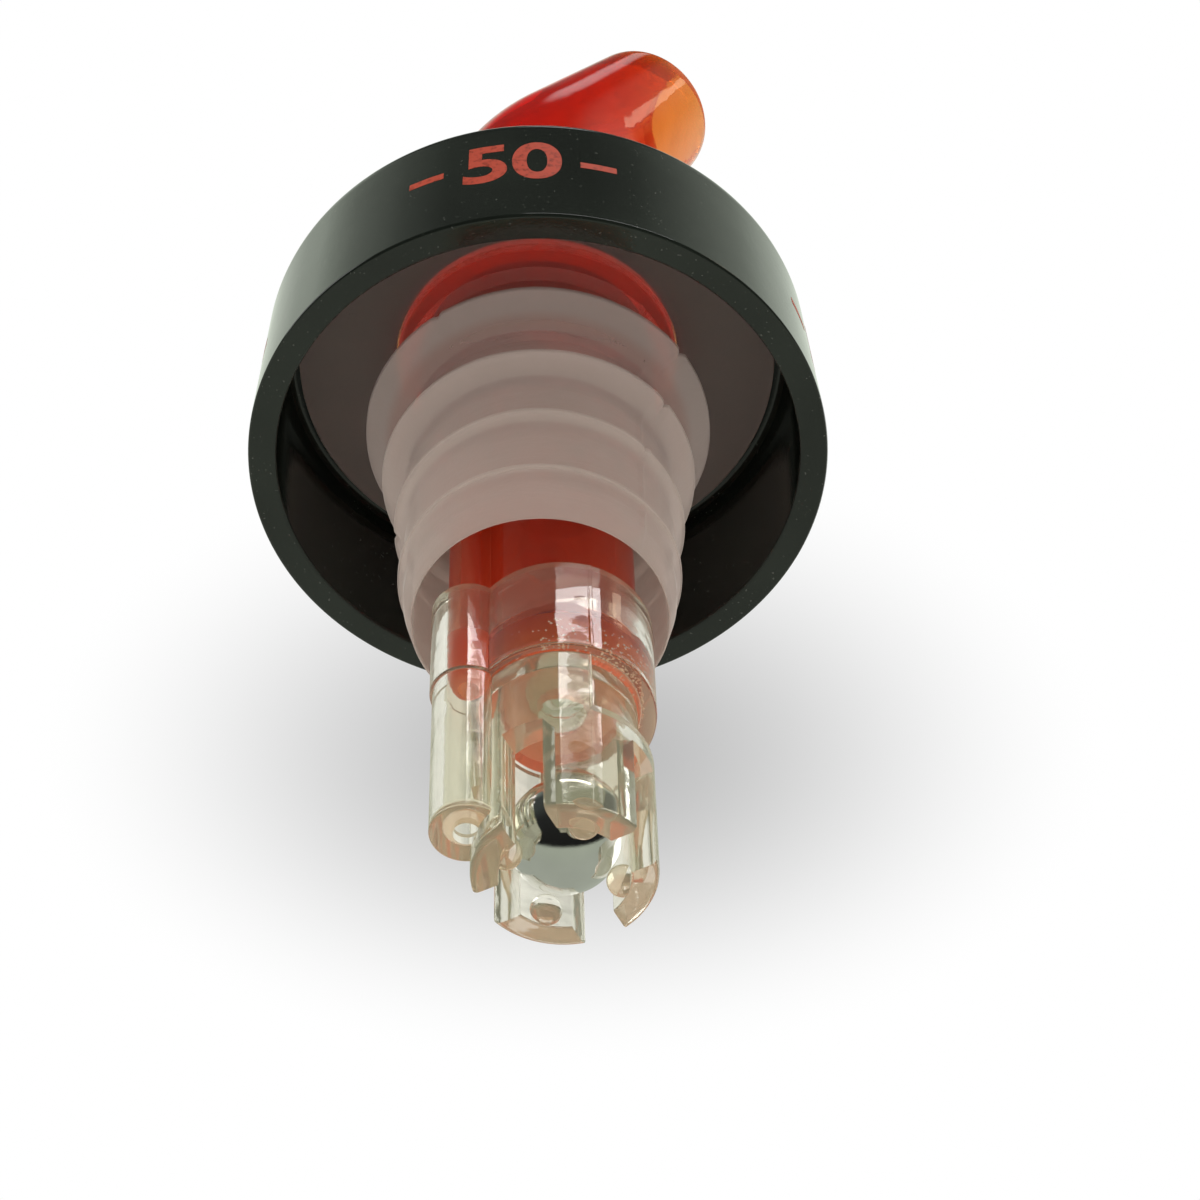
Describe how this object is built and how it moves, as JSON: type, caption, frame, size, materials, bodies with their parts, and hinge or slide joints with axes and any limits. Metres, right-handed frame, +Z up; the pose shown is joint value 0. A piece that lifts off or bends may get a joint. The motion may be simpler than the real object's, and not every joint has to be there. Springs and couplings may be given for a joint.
{
  "type": "measured liquor pourer",
  "caption": "Bottle pourer with a leaning clear red spout, black skirted collar, finned soft stopper and a clear ball cage that meters each pour by moving balls.",
  "frame": {"origin": "centre of the seat face, the underside of the stopper's flange that lies on the bottle's lip", "axes": "+Z up the stopper's axis to the spout, +X to the side that the spout leans to, +Y by the right-hand rule"},
  "size_m": [0.036, 0.036, 0.0881],
  "materials": {
    "spout_red": "clear orange-red moulded plastic, polished",
    "body_red": "clear orange-red moulded plastic",
    "collar_black": "glossy black moulded plastic with a red printed measure",
    "stopper_milky": "milky translucent soft plastic, fine moulding lines",
    "cap_clear": "clear moulded plastic, polished",
    "ball_steel": "polished bearing steel"
  },
  "bodies": {
    "pourer": {"spout": "spout_red", "metering_body": "body_red", "collar": "collar_black", "stopper": "stopper_milky", "cage_cap": "cap_clear"},
    "cage_ball": {"cage_ball": "ball_steel"},
    "timing_ball": {"timing_ball": "ball_steel"},
    "vent_ball": {"vent_ball": "ball_steel"}
  },
  "joints": [
    {"name": "cage_ball_travel", "type": "slide", "parent": "pourer", "child": "cage_ball", "axis": [0, 0, 1], "range_m": [0, 0.0063]},
    {"name": "timing_ball_travel", "type": "slide", "parent": "pourer", "child": "timing_ball", "axis": [0, 0, 1], "range_m": [0, 0.0163]},
    {"name": "vent_ball_travel", "type": "slide", "parent": "pourer", "child": "vent_ball", "axis": [0, 0, 1], "range_m": [0, 0.0043]}
  ]
}
